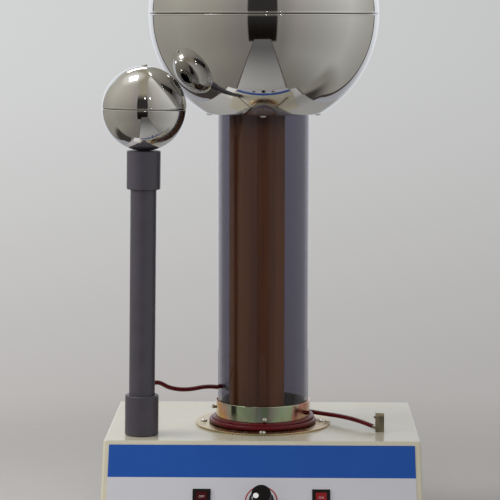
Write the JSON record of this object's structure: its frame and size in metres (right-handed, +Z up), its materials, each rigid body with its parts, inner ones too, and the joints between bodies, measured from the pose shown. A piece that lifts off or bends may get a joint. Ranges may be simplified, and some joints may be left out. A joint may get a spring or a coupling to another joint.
{
  "type": "van de graaff generator",
  "caption": "Electrostatic generator with a sloping control cabinet, a clear belt column, a large polished dome and a ball-tipped discharge wand joined by a red lead.",
  "frame": {"origin": "on the table under the middle of the generator's outer box", "axes": "+Z up along the column, -Y towards the control panel, +X to the right of someone who faces the panel"},
  "size_m": [0.3477, 0.3016, 0.7054],
  "materials": {
    "cabinet_paint": "satin cream enamel",
    "tray_paint": "satin grey enamel",
    "foot_rubber": "matt",
    "zinc_screw": "bright zinc",
    "fascia_print": "printed blue and grey",
    "switch_black": "gloss",
    "rocker_red": "gloss",
    "knob_black": "satin",
    "pot_metal": "satin",
    "inlet_black": "satin",
    "blade_brass": "bright",
    "passivated_zinc": "yellow passivate",
    "smoked_tube": "clear, lightly tinted",
    "dome_chrome": "polished",
    "mount_plastic": "satin",
    "rim_black": "matt",
    "belt_rubber": "matt tan",
    "roller_nylon": "satin",
    "roller_felt": "satin",
    "shaft_steel": "ground",
    "frame_steel": "zinc",
    "bronze_bush": "oiled",
    "motor_steel": "black enamel",
    "cradle_plastic": "matt",
    "comb_brass": "bright",
    "board_green": "solder mask",
    "wand_plastic": "satin dark grey",
    "ball_chrome": "polished",
    "grommet_rubber": "matt",
    "clip_nickel": "worn nickel",
    "lead_red": "satin",
    "ferrule_metal": "bright"
  },
  "bodies": {
    "generator": {"base_tray": "tray_paint", "cabinet_cover": "cabinet_paint", "case_screws": "zinc_screw", "charge_belt": "belt_rubber", "clip_fixings": "clip_nickel", "collar_screws": "zinc_screw", "column_base": "passivated_zinc", "column_tube": "smoked_tube", "control_fascia": "fascia_print", "dome_lower_bowl": "dome_chrome", "dome_mount": "mount_plastic", "dome_rim_ring": "rim_black", "dome_screws": "zinc_screw", "drive_bush_left": "bronze_bush", "drive_bush_right": "bronze_bush", "drive_frame": "frame_steel", "earth_clip": "clip_nickel", "flange_screws": "zinc_screw", "foot_front_left": "foot_rubber", "foot_front_right": "foot_rubber", "foot_rear_left": "foot_rubber", "foot_rear_right": "foot_rubber", "inlet_blades": "blade_brass", "lead_clip_run": "lead_red", "lead_coil": "lead_red", "lead_ferrule": "ferrule_metal", "lead_wand_run": "lead_red", "lower_comb": "comb_brass", "lower_comb_bracket": "frame_steel", "mains_inlet": "inlet_black", "motor_case": "motor_steel", "motor_cradle": "cradle_plastic", "pot_case": "pot_metal", "speed_board": "board_green", "switch_housing_left": "switch_black", "switch_housing_right": "switch_black", "upper_axle": "shaft_steel", "upper_comb": "comb_brass", "upper_comb_bracket": "frame_steel", "yoke_left": "frame_steel", "yoke_right": "frame_steel"},
    "drive": {"lower_roller": "roller_nylon", "drive_shaft": "shaft_steel", "shaft_coupling": "frame_steel", "motor_shaft": "shaft_steel"},
    "upper_pulley": {"upper_roller": "roller_felt", "upper_bearings": "shaft_steel"},
    "dome_top": {"dome_upper_bowl": "dome_chrome"},
    "wand": {"wand_foot": "wand_plastic", "wand_pipe": "wand_plastic", "wand_socket": "wand_plastic", "wand_plug": "wand_plastic", "ball_lower_half": "ball_chrome", "ball_upper_half": "ball_chrome", "wand_stud": "zinc_screw", "wand_grommet": "grommet_rubber"},
    "speed_control": {"speed_knob": "knob_black", "pot_shaft": "shaft_steel"},
    "rocker_left_body": {"rocker_left": "rocker_red"},
    "rocker_right_body": {"rocker_right": "rocker_red"}
  },
  "joints": [
    {"name": "drive_spin", "type": "hinge", "parent": "generator", "child": "drive", "pos_m": [0, 0.01875, 0.0495], "axis": [1, 0, 0], "continuous": true},
    {"name": "upper_pulley_spin", "type": "hinge", "parent": "generator", "child": "upper_pulley", "pos_m": [0, 0.01875, 0.52556], "axis": [1, 0, 0], "continuous": true},
    {"name": "dome_lift", "type": "slide", "parent": "generator", "child": "dome_top", "axis": [0, 0, 1], "range_m": [0, 0.14]},
    {"name": "wand_lift", "type": "slide", "parent": "generator", "child": "wand", "axis": [-0.7998, -0.2999, 0.5199], "range_m": [0, 0.06], "deforming": ["lead_wand_run"]},
    {"name": "speed_turn", "type": "hinge", "parent": "generator", "child": "speed_control", "pos_m": [0, -0.12571, 0.06382], "axis": [0, 0.809, -0.5878], "range_deg": [0, 280]},
    {"name": "rocker_left_tilt", "type": "hinge", "parent": "generator", "child": "rocker_left_body", "pos_m": [-0.0636, -0.12571, 0.06382], "axis": [1, 0, 0], "range_deg": [-20, 0]},
    {"name": "rocker_right_tilt", "type": "hinge", "parent": "generator", "child": "rocker_right_body", "pos_m": [0.0636, -0.12571, 0.06382], "axis": [1, 0, 0], "range_deg": [0, 20]}
  ],
  "couplings": [
    {"joint": "upper_pulley_spin", "follows": "drive_spin", "ratio": 1.1579}
  ]
}
